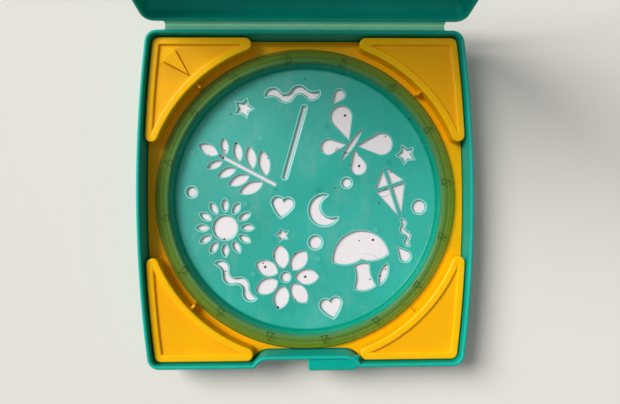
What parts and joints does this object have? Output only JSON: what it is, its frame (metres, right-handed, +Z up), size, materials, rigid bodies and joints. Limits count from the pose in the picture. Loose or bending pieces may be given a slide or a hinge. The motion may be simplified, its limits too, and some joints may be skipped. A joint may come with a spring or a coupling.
{
  "type": "round stencil drawing case",
  "caption": "Hinged plastic drawing case: a tray and lid on a flexible strip hold square paper, a holder insert with corner blocks, and a dished round stencil that turns.",
  "frame": {"origin": "middle of the base's underside", "axes": "+X right, +Y towards the hinge, +Z up"},
  "size_m": [0.18, 0.2567, 0.1933],
  "materials": {
    "case_plastic": "satin moulded polypropylene",
    "hinge_plastic": "thin flexed polypropylene",
    "holder_plastic": "smooth moulded plastic",
    "stencil_plastic": "clear tinted plastic",
    "paper": "uncoated writing paper"
  },
  "bodies": {
    "base": {"case_base": "case_plastic", "hinge_web": "hinge_plastic", "paper_pad": "paper", "drawing_sheet": "paper"},
    "lid": {"case_lid": "case_plastic"},
    "holder": {"holder_frame": "holder_plastic"},
    "stencil": {"stencil_disc": "stencil_plastic"}
  },
  "joints": [
    {"name": "lid_hinge", "type": "hinge", "parent": "base", "child": "lid", "pos_m": [0, 0.0922, 0.02115], "axis": [-1, 0, 0], "range_deg": [-110, 70], "deforming": ["hinge_web"]},
    {"name": "holder_lift", "type": "slide", "parent": "base", "child": "holder", "axis": [0, 0, 1], "range_m": [0, 0.012]},
    {"name": "stencil_turn", "type": "hinge", "parent": "holder", "child": "stencil", "pos_m": [0, 0, 0.01], "axis": [0, 0, 1], "continuous": true}
  ]
}
